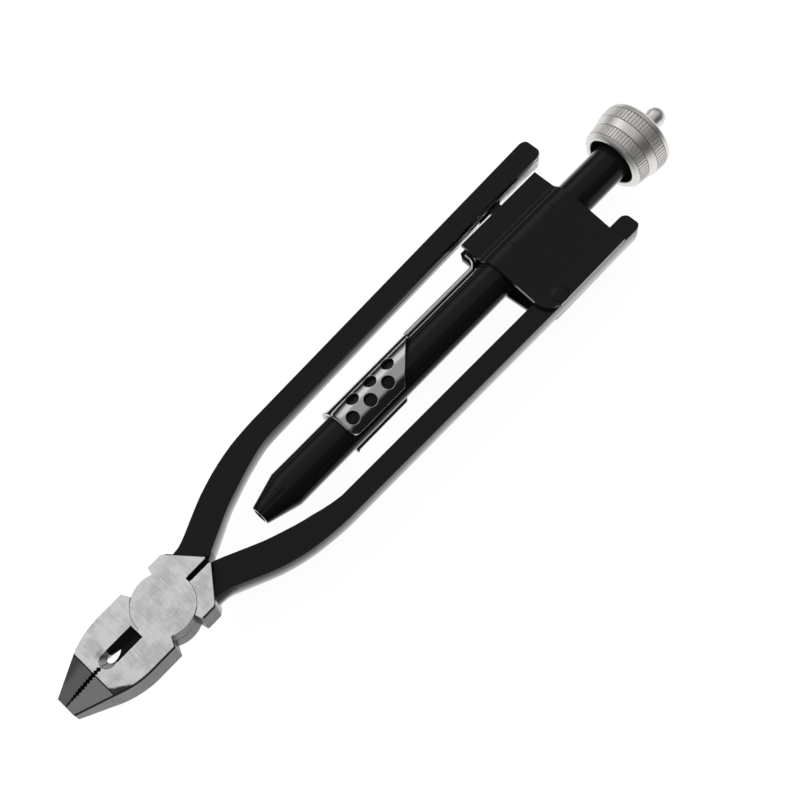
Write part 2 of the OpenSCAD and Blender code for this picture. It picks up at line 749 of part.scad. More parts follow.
// Return spring between the seat and the rear washer
coil_steps = 12;
module return_spring() {
    steps = spring_turns * coil_steps;
    first = spring_front + spring_wire_d / 2;
    run = spring_rear - spring_front - spring_wire_d;
    color("silver") at_mid() skinned([for (i = [0:steps])
        coil_ring(first + run * i / steps, 360 * i / coil_steps)]);
}

// Washer between the spring and the drive nut
module rear_spring_washer() {
    color("gold") ring(rear_washer_x, washer_t - touch, bar_w / 2 + 0.5, bore_r - pin_fit);
}

// Nut in the tube's rear end whose twisted slot turns the spiral bar
nut_pin_d = 1.5;
module drive_nut() {
    color("goldenrod") difference() {
        ring(nut_front, nut_len, 0, bore_r - pin_fit);
        at_mid() spiral(nut_front - past, nut_rear + past, slot_gap);
        at_mid() nut_pin_holes(nut_pin_d + 2 * pin_fit);
    }
}

// Cross holes for the two pins that hold the drive nut
nut_pin_in = 1.2;
module nut_pin_holes(d) {
    for (side = [-1, 1]) translate([nut_rear - 2, 0, side * (bore_r - nut_pin_in)])
        mirror([0, 0, side < 0 ? 1 : 0]) cylinder(d = d, h = tube_wall + nut_pin_in + past);
}

// Short pins through the tube wall into the drive nut
module nut_pins() {
    color("dimgray") at_mid() intersection() {
        nut_pin_holes(nut_pin_d);
        rod_x(nut_rear - 2 - nut_pin_d, 2 * nut_pin_d, tube_d - 0.1);
    }
}

// Turned pull knob with a cup in front, two knurled bands and a groove at each band's edge
lip_h = 1;
lip_chamfer = 2.2;
band_1_w = 3.4;
plain_w = 2.7;
band_2_w = 3.6;
groove_w = 0.25;
groove_depth = 0.45;
knob_taper = 0.5;
rim_edge = 0.9;
module knob() {
    cup_r = cup_d / 2;
    band_1 = knob_front + lip_h;
    plain = band_1 + band_1_w;
    band_2 = plain + plain_w;
    rim = band_2 + band_2_w;
    front_r = knob_r - knob_taper;
    shank_r = shank_d / 2 + pin_fit;
    color("silver") difference() {
        turned(concat([[shank_r, cup_floor], [cup_r, cup_floor], [cup_r, knob_front + rim_edge / 3],
            [cup_r + rim_edge / 3, knob_front], [front_r - lip_chamfer, knob_front],
            [front_r - rim_edge / 4, band_1 - rim_edge / 4]],
            groove(front_r, band_1), groove(front_r, plain), groove(knob_r, band_2), groove(knob_r, rim),
            [[knob_r - rim_edge / 4, knob_rear - rim_edge], [knob_r - rim_edge, knob_rear - rim_edge / 4],
             [knob_r - 2 * rim_edge, knob_rear], [shank_r, knob_rear]]));
        knurl(band_1 + groove_w, band_1_w - groove_w, front_r);
        knurl(band_2 + groove_w, band_2_w - groove_w, knob_r);
    }
}

// Points of a narrow turned groove that starts at x in a surface of radius r
function groove(r, x) = [[r, x], [r - groove_depth, x + groove_w / 4], [r - groove_depth, x + groove_w * 3 / 4],
    [r, x + groove_w]];

// Straight V grooves cut around one band of the knob
knurl_slope = 0.7;
knurl_top = knurl_depth + 0.4;
module knurl(x, len, r) {
    at_mid() for (i = [0:knurl_count - 1]) rotate([360 * i / knurl_count, 0, 0])
        translate([x, 0, r - knurl_depth]) rotate([90, 0, 90]) linear_extrude(len)
        polygon([[0, 0], [knurl_slope * knurl_top, knurl_top], [-knurl_slope * knurl_top, knurl_top]]);
}

// Domed nut with a ball end that holds the knob on the rod
module end_nut() {
    flange_r = ball_d / 2 + 0.6;
    neck_r = ball_d / 2 - 0.15;
    color("silver") difference() {
        union() {
            turned([[0, knob_rear + touch], [flange_r, knob_rear + touch], [flange_r, knob_rear + 1],
                [neck_r, knob_rear + 1.6], [neck_r, ball_x], [0, ball_x]]);
            at_mid() translate([ball_x, 0, 0]) sphere(d = ball_d);
        }
        at_mid() rod_x(knob_rear - past, ball_x - knob_rear + past + 0.2, end_thread_d + 2 * pin_fit);
    }
}

upper_half();
lower_half();
pivot_rivet();
twist_tube();
bracket_top_plate();
bracket_bottom_plate();
bracket_rivet();
latch_guide_pins();
latch_plate();
latch_wire();
thumb_slide();
keeper_pin();
twist_rod();
spring_seat();
rod_head_nut();
return_spring();
rear_spring_washer();
drive_nut();
nut_pins();
knob();
end_nut();
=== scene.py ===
"""Looks for a pair of 9 inch safety wire pliers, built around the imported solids.

Each visible solid is dressed as a merged, smooth-shaded copy with its own finish. The file is laid
out as an add-on: sizes and colours are properties, and each group of pieces has its operator.
"""

import json
import math

import bmesh
import bpy
from bpy.props import FloatProperty, FloatVectorProperty, PointerProperty
from mathutils import Matrix, Vector

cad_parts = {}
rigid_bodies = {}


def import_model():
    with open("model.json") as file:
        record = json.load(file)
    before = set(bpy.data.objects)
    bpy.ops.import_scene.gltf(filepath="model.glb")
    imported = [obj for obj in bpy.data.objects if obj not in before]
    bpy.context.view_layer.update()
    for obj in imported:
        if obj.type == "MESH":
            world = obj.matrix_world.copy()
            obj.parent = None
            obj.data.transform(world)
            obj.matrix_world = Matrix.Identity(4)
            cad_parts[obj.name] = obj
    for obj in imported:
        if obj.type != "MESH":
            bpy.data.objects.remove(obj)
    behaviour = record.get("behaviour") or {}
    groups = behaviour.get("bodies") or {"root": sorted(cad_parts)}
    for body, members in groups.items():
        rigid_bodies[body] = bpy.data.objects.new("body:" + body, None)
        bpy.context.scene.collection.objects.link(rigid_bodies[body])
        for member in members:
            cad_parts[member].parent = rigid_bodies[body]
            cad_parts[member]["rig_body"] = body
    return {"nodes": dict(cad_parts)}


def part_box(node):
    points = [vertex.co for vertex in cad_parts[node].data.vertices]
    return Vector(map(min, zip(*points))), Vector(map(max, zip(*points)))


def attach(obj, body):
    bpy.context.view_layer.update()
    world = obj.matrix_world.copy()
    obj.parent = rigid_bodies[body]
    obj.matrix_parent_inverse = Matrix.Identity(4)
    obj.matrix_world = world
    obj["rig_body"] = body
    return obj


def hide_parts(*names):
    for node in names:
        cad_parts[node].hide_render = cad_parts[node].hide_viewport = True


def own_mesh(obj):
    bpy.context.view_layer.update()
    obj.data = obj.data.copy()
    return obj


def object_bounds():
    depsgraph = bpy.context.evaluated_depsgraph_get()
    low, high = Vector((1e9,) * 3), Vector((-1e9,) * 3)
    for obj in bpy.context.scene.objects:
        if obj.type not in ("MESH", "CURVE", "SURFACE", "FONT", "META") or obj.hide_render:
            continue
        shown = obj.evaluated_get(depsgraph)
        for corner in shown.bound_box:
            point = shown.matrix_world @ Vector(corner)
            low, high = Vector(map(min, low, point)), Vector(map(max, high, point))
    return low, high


bl_info = {
    "name": "Safety wire pliers",
    "version": (1, 0, 0),
    "blender": (4, 5, 0),
    "location": "View3D > Sidebar > Pliers",
    "description": "Dresses the solids of a pair of safety wire pliers and sets the studio",
    "category": "Object",
}

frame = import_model()
CAD_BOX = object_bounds()
MM = 0.001
MERGE_DIST = 1e-6
JAW_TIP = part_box("upper_half")[0].x
HEAD_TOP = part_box("upper_half")[1].z
AXIS_Z = (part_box("knob")[0].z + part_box("knob")[1].z) / 2
BLACK = (0, 0, 0)

# Where the black paint starts on the head's slanted end, that line's slope, and how ragged and soft it is
PAINT_START = 16.6 * MM
PAINT_SLOPE = 0.805
PAINT_RAGGED = 0.3 * MM
PAINT_FADE = 0.1 * MM
# Paint: name and gloss, softness and wear of its edges, spread of its roughness, and the glancing angles
# at which its coat shows
PAINT_NAME = "satin_black_paint"
PAINT_GLOSS = 0.12
PAINT_COAT_IOR = 1.8
PAINT_EDGE = 0.25 * MM
PAINT_WEAR = 0.35
HANDLE_WEAR = 0.3
WORN_EDGE = (0.02, 0.2)
PAINT_UNEVEN = 0.14
GLANCING = (0.5, 0.8)
# Specks of dust in the paint: size, how few there are, and height
SPECK_SIZE = (0.03, 0.12)
SPECK_FEW = (0.55, 0.7)
SPECK_HEIGHT = 0.6

# Length of the nose bevels and their fall from the head's upper face, in mm
NOSE_LENGTH = 10.2
NOSE_DROP = 2.25
NOSE_START = JAW_TIP + NOSE_LENGTH * MM
NOSE_FALL = NOSE_DROP / NOSE_LENGTH
# How far a bevel's normal tilts along the tool
NOSE_TILT = (0.1, 0.18)
# Painted shade along the crease at the rear end of the bevels: half its width and its fade
NOSE_LINE = (0.16 * MM, 0.08 * MM)
# Share of the bevel's colour on the upper jaw, whose bevel is darkened as painted shade, the painted shade
# along that jaw's outer edge, and the fade between the jaws
UPPER_NOSE_SHADE = 0.62
NOSE_EDGE_SHADE = (4.2 * MM, 6.5 * MM)
NOSE_EDGE_SHADE_STRENGTH = 0.7
JAW_FADE = 0.5 * MM
# Lap disc's radius, the margin round it, half the lap's width, and how much harder its edges are
DISC_R = 8.45 * MM
LAP_MARGIN = 0.8 * MM
LAP_HALF_W = 6.6 * MM
LAP_HARDNESS = 0.95
# Broken ring on the lap disc: radius, half width and fade
RING = (4.6 * MM, 0.12 * MM, 0.1 * MM)
RING_BREAKS = (0.45, 0.6)
RING_STRENGTH = 0.15
# Blackened cutter window: both its ends and half its width
WINDOW_ENDS = (-17.6 * MM, -8.7 * MM)
WINDOW_HALF_W = 2.2 * MM
# Painted shade in the gap between the halves behind the pivot: its front and half its width
GAP_FRONT = 5.0 * MM
GAP_HALF_W = 1.5 * MM
# Rear end of the gripping teeth and half the width of their row, whose steep walls get painted shade
TEETH_REAR = -21.4 * MM
TEETH_HALF_W = 0.9 * MM
# Painted shade along the border where the lower jaw's side meets its face: its limits towards the middle and
# the pivot, and the depths below the face between which it fades
BORDER_ASIDE = -1.5 * MM
BORDER_FROM_PIVOT = 4.4 * MM
BORDER_DEPTH = (1.3 * MM, 1.7 * MM)
# Painted shade on the lower jaw's edge behind the nose: slope, raggedness, fades across and along, and
# strength
LOWER_EDGE_SHADE_SLOPE = 0.82
SHADE_RAGGED = 2.0 * MM
LOWER_EDGE_SHADE_ACROSS = (-4.6 * MM, -3.6 * MM)
LOWER_EDGE_SHADE_ALONG = (-19.6 * MM, -18.0 * MM)
LOWER_EDGE_SHADE_STRENGTH = 0.92
# Soot ahead of the window: middle, half width and fade along X and along Y, and strength of mask and stain
SOOT_X = (-19.3 * MM, 1.2 * MM, 1.0 * MM)
SOOT_Y = (2.7 * MM, 0.7 * MM, 0.7 * MM)
SOOT_STRENGTH = 0.5
STAIN_STRENGTH = 0.85
# Painted reflection, a strip of bare steel on the upper handle's inner side: its start, the scale and
# breaks of its streaks, and how far its normal points inwards
REFLECTED_START = (116.0 * MM, 128.0 * MM)
REFLECTED_STREAK_SCALE = (160.0, 900.0, 1500.0)
REFLECTED_STREAK_BREAKS = (0.5, 0.6)
INWARD = (0.5, 0.9)
# How far a normal points up or down on a face that leans, lies flat, or turns from wall to face, and the
# limits below which a face isn't flat or is steep
LEANING = (0.8, 0.9)
FLAT = (0.9, 0.99)
WALL = (0.3, 0.8)
NOT_FLAT = 0.97
STEEP = 0.5
# Ground faces: least shade, what streaks and patches add to it, and the spread of the roughness
GROUND_SHADE = 0.7
STREAKS = (0.3, 0.7)
STREAK_SHADE = 0.2
PATCHES = (0.35, 0.65)
PATCH_SHADE = 0.2
STEEL_UNEVEN = 0.2
# Painted shade along the head's edges: softness, mask, and its strength at least, in patches and on the
# lower jaw
HEAD_EDGE = 0.3 * MM
RIM_MASK = (0.01, 0.1)
RIM_PATCHES = (0.35, 0.6)
LEAST_RIM = 0.15
PATCHY_RIM = 0.4
LOWER_RIM = 0.7
# Bumps: height and strength
PAINT_BUMP = (0.05 * MM, 0.12)
HEAD_BUMP = (0.05 * MM, 0.15)
METAL_BUMP = (0.03 * MM, 0.08)
# Metals: spread of the roughness as a share of it, softness of the edges, and the fade at the rim of a bore
# painted dark as shade
METAL_UNEVEN = 0.4
METAL_EDGE = 0.12 * MM
BORE_FADE = (-0.1 * MM, 0.25 * MM)

# Squarer and wider handles than the solids', in mm: distance behind the pivot, then how far the side
# towards +Y and the side towards -Y go outwards
HANDLE_FIT = {
    "upper_half": ((8, 0, 0), (12.5, 0, 0.4), (15, -0.1, 1.0), (28.7, -0.1, 0.65), (35, 0.26, 0.93),
                   (42, 0.64, 0.74), (49, 0.83, 0.17), (56, 1.0, 0.05), (162, 1.6, -0.15)),
    "lower_half": ((8, 0, 0), (12.5, 0.4, 0), (15, 1.1, -0.1), (28.7, 1.1, -0.1), (35, 1.4, 0),
                   (42, 1.4, 0), (49, 0.7, 0.1), (56, -0.05, -0.15), (162, 1.3, -0.6)),
}
# Half the handles' thickness in mm, at distances behind the pivot
HANDLE_HALF_T = ((8, 4.05), (11, 4.05), (18, 3.27), (25, 3.01), (40, 2.75), (162, 2.75))
# Bulge of the solids' sides and of the fitted ones in mm, and where the squaring starts and over what
# length it grows
OUTER_BULGE = 1.0
INNER_BULGE = 0.75
FITTED_BULGE = 0.15
SQUARED_FROM = 12
SQUARED_OVER = 4
# Points that are left alone, in mm: round the pin's hole, on the pocket's edges behind its front, and
# outside the handle's thickness
HOLE_REACH = 2.4
POCKET_HALF_H = 1.25
POCKET_FRONT = 100
POCKET_SLACK = 0.02
THICKNESS_SLACK = 0.1
# Least part of a normal along Y on a handle's side
LEAST_SIDE = 0.05
# Height of the cutting edges, where they end, and how near a point lies to one in height and across
CUTTER_Z = HEAD_TOP - 1.3 * MM
CUTTER_ENDS = (-18.5 * MM, -8.9 * MM)
CUTTER_NEAR_Z = 0.05 * MM
CUTTER_NEAR_Y = 0.04 * MM
# Width of the bracket's rivet against the solid's, so that its heads stay within the handle's edge
RIVET_WIDTH = 0.86
# Knob's outside in mm behind its front, and its share of the solid's radius there
KNOB_FIT = ((0, 1.02), (0.775, 0.905), (1, 0.905), (4.4, 0.935), (7.1, 0.965), (10.7, 0.98), (13.1, 0.98))
# Radius within which the knob stays as it is, and the radius of its inside, painted dark as shade
KNOB_INSIDE = 8.2 * MM
KNOB_BORE = 7.5 * MM
# How far the bracket's upper plate goes on to the lower handle's side, and what counts as its edge there
PLATE_REACH = 0.45 * MM
PLATE_EDGE = 0.05 * MM
# Rounding of both plates' short edges
PLATE_ROUNDING = 0.15 * MM

# Angles above which an edge stays sharp or is rounded, and the one below which it is merged away
PLAIN_CREASE = math.radians(30)
HANDLE_CREASE = math.radians(40)
HEAD_CREASE = math.radians(9)
PLATE_CREASE = math.radians(60)
TURNED_CREASE = math.radians(24)
COILED_CREASE = math.radians(70)
ROUNDED_ANGLE = math.radians(50)
FLAT_ANGLE = math.radians(0.5)
# Share of an edge's length along the tool from which it counts as a long edge
LONG_SHARE = 0.9

# Metals inside the tube
ROD_COLOUR = (0.55, 0.55, 0.56)
SPRING_COLOUR = (0.16, 0.16, 0.17)
# Studio: the key lamp, the camera's near limit, the floor, and the sky's ramps by height and by side
KEY_PLACE = (0.1, 0.6, 0.55)
KEY_SIZE = (0.9, 0.4)
CAMERA_CLIP = 0.01
FLOOR_GAP = 0.1 * MM
FLOOR_COLOUR = (0.16, 0.16, 0.16, 1)
FLOOR_GLOW = 0.95
OVERHEAD_RISE = (0.3, 0.75)
OVERHEAD_SIDE = (-0.6, -0.3)
BESIDE_RISE = (0.2, 0.4)
BESIDE_SIDE = (0.3, 0.8)
WHITE = (1, 1, 1, 1)


class SteelFinish(bpy.types.PropertyGroup):
    """Ground steel of the head."""

    colour: FloatVectorProperty(name="Ground face", description="Colour of the ground faces",
                                subtype="COLOR", size=3, default=(0.86, 0.86, 0.875), min=0, max=1)
    side_colour: FloatVectorProperty(name="Forged side", description="Colour of the jaws' side faces",
                                     subtype="COLOR", size=3, default=(0.12, 0.119, 0.117), min=0, max=1)
    nose_colour: FloatVectorProperty(name="Nose bevel", description="Colour of the ground nose bevels",
                                     subtype="COLOR", size=3, default=(0.26, 0.26, 0.265), min=0, max=1)
    # Oxide in the cutter window, and painted shade in gaps, creases, along edges and inside the knob's bore
    oxide_and_shade_colour: FloatVectorProperty(name="Oxide and shade", description="Colour inside the cutter window",
                                      subtype="COLOR", size=3, default=(0.012, 0.012, 0.012), min=0, max=1)
    # Stains, and also painted shade along the head's edges and on the upper jaw's nose
    stain_and_shade_colour: FloatVectorProperty(name="Stain", description="Colour of scored lines and burnt edges",
                                      subtype="COLOR", size=3, default=(0.05, 0.05, 0.05), min=0, max=1)
    roughness: FloatProperty(name="Roughness", description="Roughness of the ground faces",
                             default=0.36, min=0.05, max=1)


class PaintFinish(bpy.types.PropertyGroup):
    """Black paint of the handles, tube and bracket."""

    colour: FloatVectorProperty(name="Paint", description="Colour of the black paint",
                                subtype="COLOR", size=3, default=(0.016, 0.016, 0.0163), min=0, max=1)
    worn_colour: FloatVectorProperty(name="Worn paint", description="Colour of the paint along its edges",
                                     subtype="COLOR", size=3, default=(0.05, 0.05, 0.051), min=0, max=1)
    roughness: FloatProperty(name="Roughness", description="Roughness of the paint",
                             default=0.17, min=0.05, max=1)


class PlateFinish(bpy.types.PropertyGroup):
    """Plated and turned pieces."""

    chrome: FloatVectorProperty(name="Chrome", description="Colour of the thumb slide and its wire",
                                subtype="COLOR", size=3, default=(0.46, 0.46, 0.465), min=0, max=1)
    nickel: FloatVectorProperty(name="Nickel", description="Colour of the knob and its end nut",
                                subtype="COLOR", size=3, default=(0.82, 0.8, 0.775), min=0, max=1)
    brass: FloatVectorProperty(name="Brass", description="Colour of the nut and washers in the tube",
                               subtype="COLOR", size=3, default=(0.72, 0.53, 0.24), min=0, max=1)


class StudioSetup(bpy.types.PropertyGroup):
    """Camera, floor and lights."""

    camera_place: FloatVectorProperty(name="Camera", description="Where the camera stands", subtype="XYZ",
                                      unit="LENGTH", size=3, default=(-0.0157, -0.1301, 0.36785))
    camera_target: FloatVectorProperty(name="Target", description="What the camera looks at", subtype="XYZ",
                                       unit="LENGTH", size=3, default=(0.0807, -0.00496, 0.00485))
    camera_turn: FloatProperty(name="Turn", description="How far the camera is turned about its view",
                               subtype="ANGLE", default=math.radians(45.434))
    camera_angle: FloatProperty(name="Field of view", description="Angle that the camera takes in",
                                subtype="ANGLE", default=math.radians(29.82))
    floor_size: FloatProperty(name="Floor", description="Width of the floor", subtype="DISTANCE",
                              default=6.0, min=1)
    overhead: FloatProperty(name="Overhead", description="Light from straight above", default=0.58, min=0)
    beside: FloatProperty(name="Beside", description="Light from the latched handle's side",
                          default=0.3, min=0)
    around: FloatProperty(name="Around", description="Light from all around", default=0.02, min=0)
    key_power: FloatProperty(name="Key light", description="Power of the softbox in watts",
                             default=0.6, min=0)


class PliersLook(bpy.types.PropertyGroup):
    """Everything that can be changed about the pliers' looks."""

    steel: PointerProperty(type=SteelFinish)
    paint: PointerProperty(type=PaintFinish)
    plate: PointerProperty(type=PlateFinish)
    studio: PointerProperty(type=StudioSetup)


def look():
    """The scene's settings."""
    return bpy.context.scene.pliers_look


# Node trees


def new_group(name, inputs, outputs):
    """A shader node group with named sockets, and its two end nodes."""
    group = bpy.data.node_groups.new(name, "ShaderNodeTree")
    for socket, kind, default in inputs:
        made = group.interface.new_socket(name=socket, in_out="INPUT", socket_type=kind)
        if default is not None:
            made.default_value = default
    for socket, kind in outputs:
        group.interface.new_socket(name=socket, in_out="OUTPUT", socket_type=kind)
    start = group.nodes.new("NodeGroupInput")
    end = group.nodes.new("NodeGroupOutput")
    return group, start, end


def feed(tree, socket, value):
    """Links a value to a socket, or sets it there when it is a constant."""
    if isinstance(value, bpy.types.NodeSocket):
        tree.links.new(value, socket)
    else:
        socket.default_value = value


def feed_all(tree, node, values):
    """Feeds a node's inputs, which are given by name or place."""
    for key, value in values.items():
        feed(tree, node.inputs[key], value)


def add(tree, kind, **settings):
    """A node of a kind with its settings and its inputs."""
    node = tree.nodes.new("ShaderNode" + kind)
    values = settings.pop("inputs", {})
    for name, value in settings.items():
        setattr(node, name, value)
    feed_all(tree, node, values)
    return node


def use(tree, group, **values):
    """The outputs of a group that is placed in a material with its own values."""
    node = tree.nodes.new("ShaderNodeGroup")
    node.node_tree = bpy.data.node_groups[group]
    feed_all(tree, node, values)
    return node.outputs


def maths(tree, operation, a, b=0.0):
    """The value of one maths node."""
    return add(tree, "Math", operation=operation, inputs={0: a, 1: b}).outputs[0]


def combined(tree, operation, values):
    """Several values put together by one operation, from left to right."""
    result = values[0]
    for value in values[1:]:
        result = maths(tree, operation, result, value)
    return result


def product(tree, *values):
    """Several values multiplied."""
    return combined(tree, "MULTIPLY", values)


def total(tree, *values):
    """Several values added."""
    return combined(tree, "ADD", values)


def largest(tree, *values):
    """The largest of several values."""
    return combined(tree, "MAXIMUM", values)


def rest(tree, value):
    """What a value leaves of 1."""
    return maths(tree, "SUBTRACT", 1.0, value)


def less(tree, value, limit):
    """1 where a value is less than a limit."""
    return maths(tree, "LESS_THAN", value, limit)


def more(tree, value, limit):
    """1 where a value is more than a limit."""
    return maths(tree, "GREATER_THAN", value, limit)


def spread(tree, middle, width, value):
    """A value from 0 to 1 spread over a width about a middle."""
    return maths(tree, "ADD", middle - width / 2, product(tree, value, width))


def ramp(tree, value, low, high):
    """A value taken smoothly from 0 at low to 1 at high."""
    node = add(tree, "MapRange", interpolation_type="SMOOTHSTEP",
               inputs={"Value": value, "From Min": low, "From Max": high})
    return node.outputs["Result"]


def band(tree, value, middle, half_width, fade):
    """1 where a value lies near its middle, fading to 0 on both sides."""
    away = maths(tree, "ABSOLUTE", maths(tree, "SUBTRACT", value, middle))
    return rest(tree, ramp(tree, away, half_width - fade, half_width + fade))


def separate(tree, vector):
    """The three parts of a vector."""
    return add(tree, "SeparateXYZ", inputs={0: vector}).outputs


def combine(tree, parts):
    """A vector of parts that are given by place."""
    return add(tree, "CombineXYZ", inputs=parts).outputs[0]


def length(tree, vector):
    """The length of a vector."""
    return add(tree, "VectorMath", operation="LENGTH", inputs={0: vector}).outputs["Value"]


def mix_value(tree, factor, a, b):
    """Value a turned into value b by a factor."""
    return add(tree, "Mix", inputs={0: factor, 2: a, 3: b}).outputs[0]


def mix_colour(tree, factor, a, b):
    """Colour a turned into colour b by a factor."""
    node = add(tree, "Mix", data_type="RGBA")
    sockets = {socket.name: socket for socket in node.inputs if socket.enabled}
    feed(tree, sockets["Factor"], factor)
    for name, value in (("A", a), ("B", b)):
        linked = isinstance(value, bpy.types.NodeSocket)
        feed(tree, sockets[name], value if linked else (*value, 1.0))
    return next(socket for socket in node.outputs if socket.enabled)


def marks_group():
    """Fine lines of a ground or brushed face, drawn along one direction."""
    group, start, end = new_group("ground_marks", [
        ("Vector", "NodeSocketVector", None), ("Fine", "NodeSocketFloat", 900.0),
        ("Run", "NodeSocketFloat", 60.0)], [("Marks", "NodeSocketFloat"), ("Mottle", "NodeSocketFloat")])
    x, y, z = separate(group, start.outputs["Vector"])
    stretched = combine(group, {0: product(group, x, start.outputs["Fine"]),
                                1: product(group, y, start.outputs["Run"]),
                                2: product(group, z, start.outputs["Run"])})
    lines = add(group, "TexNoise", inputs={"Vector": stretched, "Scale": 1.0, "Detail": 4.0,
                                           "Roughness": 0.7})
    patches = add(group, "TexNoise", inputs={"Vector": start.outputs["Vector"], "Scale": 260.0,
                                             "Detail": 3.0})
    group.links.new(lines.outputs[0], end.inputs["Marks"])
    group.links.new(patches.outputs[0], end.inputs["Mottle"])
    return group


def peel_group():
    """Skin of sprayed paint: a soft ripple and rare specks of dust under it."""
    group, start, end = new_group("paint_skin", [
        ("Vector", "NodeSocketVector", None), ("Ripple", "NodeSocketFloat", 900.0)],
        [("Height", "NodeSocketFloat"), ("Sheen", "NodeSocketFloat")])
    ripple = add(group, "TexNoise", inputs={"Vector": start.outputs["Vector"],
                                            "Scale": start.outputs["Ripple"], "Detail": 2.0})
    specks = add(group, "TexVoronoi", inputs={"Vector": start.outputs["Vector"], "Scale": 420.0})
    speck = rest(group, ramp(group, specks.outputs["Distance"], *SPECK_SIZE))
    chosen = product(group, speck, ramp(group, ripple.outputs[0], *SPECK_FEW))
    height = total(group, ripple.outputs[0], product(group, chosen, SPECK_HEIGHT))
    patches = add(group, "TexNoise", inputs={"Vector": start.outputs["Vector"], "Scale": 120.0,
                                             "Detail": 4.0})
    group.links.new(height, end.inputs["Height"])
    group.links.new(patches.outputs[0], end.inputs["Sheen"])
    return group


def edge_group():
    """Rounded edges: a mask along sharp edges and a softened normal."""
    group, start, end = new_group("soft_edges", [("Radius", "NodeSocketFloat", 0.0002)],
                                  [("Mask", "NodeSocketFloat"), ("Normal", "NodeSocketVector")])
    soft = add(group, "Bevel", samples=6, inputs={"Radius": start.outputs["Radius"]})
    flat = add(group, "NewGeometry")
    along = add(group, "VectorMath", operation="DOT_PRODUCT",
                inputs={0: soft.outputs[0], 1: flat.outputs["Normal"]})
    group.links.new(rest(group, along.outputs["Value"]), end.inputs["Mask"])
    group.links.new(soft.outputs[0], end.inputs["Normal"])
    return group


def zones_group():
    """Where a forged half is painted, ground, forged or stained, where it is dark with oxide or painted
    shade, and where a painted reflection lies.
    """
    group, start, end = new_group("head_zones", [
        ("Vector", "NodeSocketVector", None), ("Mottle", "NodeSocketFloat", 0.5)],
        [(name, "NodeSocketFloat") for name in
         ("Painted", "Side", "Nose", "Scale", "Stain", "Ring", "Rubbed", "Edge")])
    x, y, z = separate(group, start.outputs["Vector"])
    facing = separate(group, add(group, "NewGeometry").outputs["True Normal"])
    mottle = start.outputs["Mottle"]
    up = maths(group, "ABSOLUTE", facing[2])
    aside = maths(group, "ABSOLUTE", y)
    reach = length(group, combine(group, {0: x, 1: y}))
    leaning = ramp(group, up, *LEANING)
    flat = ramp(group, up, *FLAT)
    steep = less(group, up, STEEP)
    side = rest(group, ramp(group, up, *WALL))
    slant = total(group, x, product(group, aside, PAINT_SLOPE), product(group, mottle, PAINT_RAGGED))
    painted = ramp(group, slant, PAINT_START - PAINT_FADE, PAINT_START + PAINT_FADE)
    tilted = ramp(group, maths(group, "ABSOLUTE", facing[0]), *NOSE_TILT)
    nose = product(group, tilted, leaning, less(group, x, NOSE_START))
    # Painted shade along the crease where the bevels start
    line = product(group, band(group, x, NOSE_START, *NOSE_LINE), leaning)
    window = product(group, more(group, x, WINDOW_ENDS[0]), less(group, x, WINDOW_ENDS[1]),
                     less(group, aside, WINDOW_HALF_W), less(group, up, NOT_FLAT))
    # Painted shade on the steep walls of the gap behind the pivot and of the teeth's row
    gap = product(group, more(group, x, GAP_FRONT), less(group, aside, GAP_HALF_W), steep)
    teeth = product(group, less(group, x, TEETH_REAR), less(group, aside, TEETH_HALF_W), steep)
    # Depth below the upper face, which falls along the nose
    ahead = largest(group, maths(group, "SUBTRACT", NOSE_START, x), 0.0)
    depth = maths(group, "SUBTRACT", HEAD_TOP, total(group, z, product(group, ahead, NOSE_FALL)))
    # Painted shade along the lower jaw's border
    border = product(group, side, less(group, y, BORDER_ASIDE),
                     more(group, maths(group, "ABSOLUTE", x), BORDER_FROM_PIVOT),
                     rest(group, ramp(group, depth, *BORDER_DEPTH)))
    # Painted shade on the lower jaw's edge behind the nose
    behind = maths(group, "SUBTRACT", x, NOSE_START)
    slope = total(group, y, product(group, behind, LOWER_EDGE_SHADE_SLOPE), product(group, mottle, SHADE_RAGGED))
    lower_edge_shade = product(group, rest(group, ramp(group, slope, *LOWER_EDGE_SHADE_ACROSS)), more(group, x, NOSE_START),
                   rest(group, ramp(group, x, *LOWER_EDGE_SHADE_ALONG)), up, LOWER_EDGE_SHADE_STRENGTH)
    soot = product(group, band(group, x, *SOOT_X), band(group, y, *SOOT_Y), SOOT_STRENGTH, up)
    ring = product(group, band(group, reach, *RING), ramp(group, mottle, *RING_BREAKS), flat)
    # Painted reflection: streaky bare steel on the upper handle's inner side
    stretched = combine(group, {place: product(group, part, scale) for place, (part, scale)
                                in enumerate(zip((x, y, z), REFLECTED_STREAK_SCALE))})
    reflected_streaks = add(group, "TexNoise", inputs={"Vector": stretched, "Scale": 1.0, "Detail": 3.0})
    reflected = product(group, ramp(group, product(group, facing[1], -1.0), *INWARD),
                     ramp(group, x, *REFLECTED_START), more(group, y, 0.0),
                     ramp(group, reflected_streaks.outputs[0], *REFLECTED_STREAK_BREAKS))
    lap = product(group, less(group, aside, LAP_HALF_W), flat, less(group, reach, DISC_R + LAP_MARGIN))
    edge = rest(group, product(group, lap, LAP_HARDNESS))
    # Oxide in the cutter window, and painted shade in the gap, the teeth, the border, the nose's crease and
    # the lower jaw's edge
    scale = largest(group, window, gap, teeth, border, line, lower_edge_shade)
    for socket, value in zip(end.inputs, (painted, side, nose, scale, soot, ring, reflected, edge)):
        group.links.new(value, socket)
    return group


def new_material(name):
    """A material's tree, its main shader and the piece's own coordinates."""
    material = bpy.data.materials.new(name)
    material.use_nodes = True
    tree = material.node_tree
    shader = tree.nodes["Principled BSDF"]
    place = add(tree, "TexCoord").outputs["Object"]
    return material, tree, shader, place


def bump(tree, height, distance, strength, normal):
    """A bump that starts from a softened normal."""
    return add(tree, "Bump", inputs={"Height": height, "Distance": distance, "Strength": strength,
                                     "Normal": normal}).outputs[0]


# Materials


